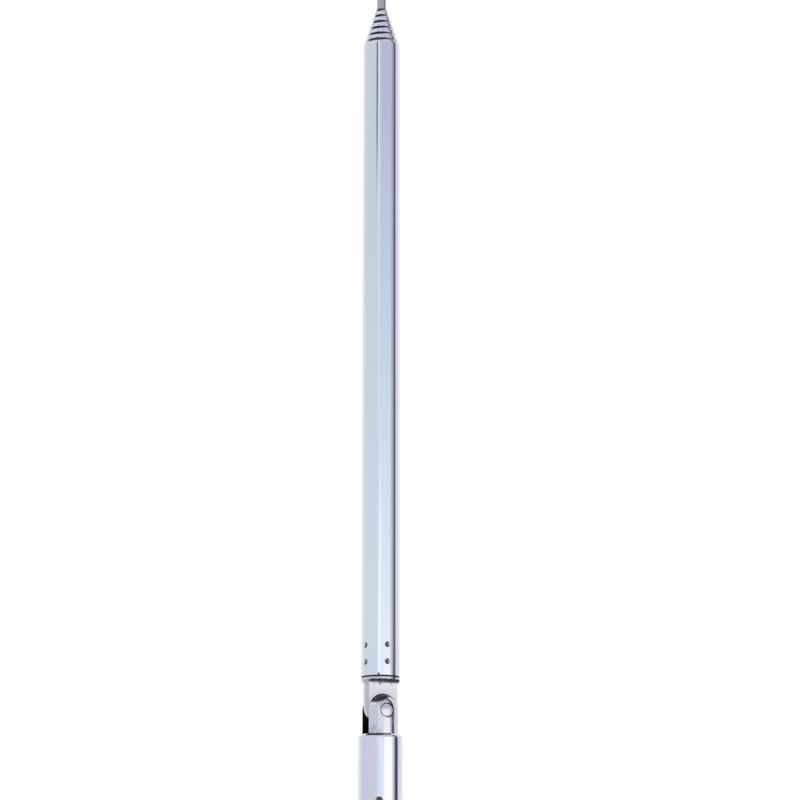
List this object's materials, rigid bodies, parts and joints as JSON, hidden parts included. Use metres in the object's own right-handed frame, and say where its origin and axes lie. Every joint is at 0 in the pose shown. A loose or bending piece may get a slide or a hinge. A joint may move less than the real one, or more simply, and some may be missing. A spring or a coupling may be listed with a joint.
{
  "type": "telescopic antenna",
  "caption": "Telescopic rod antenna: nested plated tubes round a thin rod, on a base knuckle that tilts and turns in a sleeve with a tapped foot.",
  "frame": {"origin": "centre of the mouth of the tapped hole in the base's flat bottom face", "axes": "+Z along the antenna from base to tip; the hinge pin lies along Y with its head towards -Y; the mast folds down towards +X or -X"},
  "size_m": [0.0092, 0.0092, 0.2016],
  "materials": {
    "tube_plate": "bright plated",
    "sleeve_plate": "bright plated",
    "knuckle_plate": "satin plated",
    "rivet_steel": "peened",
    "rod_steel": "drawn",
    "spring_steel": "blued",
    "turned_brass": "turned",
    "spring_bronze": "rolled"
  },
  "bodies": {
    "base": {"base_plug": "turned_brass", "base_sleeve": "sleeve_plate", "swivel_washer": "spring_steel"},
    "fork": {"hinge_fork": "knuckle_plate", "hinge_pin": "rivet_steel", "hinge_washer": "spring_steel"},
    "mast": {"hinge_tongue": "knuckle_plate", "outer_tube": "tube_plate"},
    "section_2": {"tube_2": "tube_plate", "stop_bush_2": "turned_brass", "contact_spring_2": "spring_bronze"},
    "section_3": {"tube_3": "tube_plate", "stop_bush_3": "turned_brass", "contact_spring_3": "spring_bronze"},
    "section_4": {"tube_4": "tube_plate", "stop_bush_4": "turned_brass", "contact_spring_4": "spring_bronze"},
    "section_5": {"tube_5": "tube_plate", "stop_bush_5": "turned_brass", "contact_spring_5": "spring_bronze"},
    "section_6": {"tube_6": "tube_plate", "stop_bush_6": "turned_brass", "contact_spring_6": "spring_bronze"},
    "section_7": {"tip_rod": "rod_steel", "stop_bush_7": "turned_brass", "contact_spring_7": "spring_bronze", "tip_cap": "sleeve_plate"}
  },
  "joints": [
    {"name": "base_swivel", "type": "hinge", "parent": "base", "child": "fork", "pos_m": [0, 0, 0.0372], "axis": [0, 0, 1], "continuous": true},
    {"name": "knuckle_tilt", "type": "hinge", "parent": "fork", "child": "mast", "pos_m": [0, 0, 0.0372], "axis": [0, 1, 0], "range_deg": [-90, 90]},
    {"name": "slide_2", "type": "slide", "parent": "mast", "child": "section_2", "axis": [0, 0, 1], "range_m": [0, 0.1223]},
    {"name": "slide_3", "type": "slide", "parent": "section_2", "child": "section_3", "axis": [0, 0, 1], "range_m": [0, 0.1197]},
    {"name": "slide_4", "type": "slide", "parent": "section_3", "child": "section_4", "axis": [0, 0, 1], "range_m": [0, 0.1172]},
    {"name": "slide_5", "type": "slide", "parent": "section_4", "child": "section_5", "axis": [0, 0, 1], "range_m": [0, 0.1146]},
    {"name": "slide_6", "type": "slide", "parent": "section_5", "child": "section_6", "axis": [0, 0, 1], "range_m": [0, 0.1121]},
    {"name": "slide_7", "type": "slide", "parent": "section_6", "child": "section_7", "axis": [0, 0, 1], "range_m": [0, 0.1092]}
  ]
}
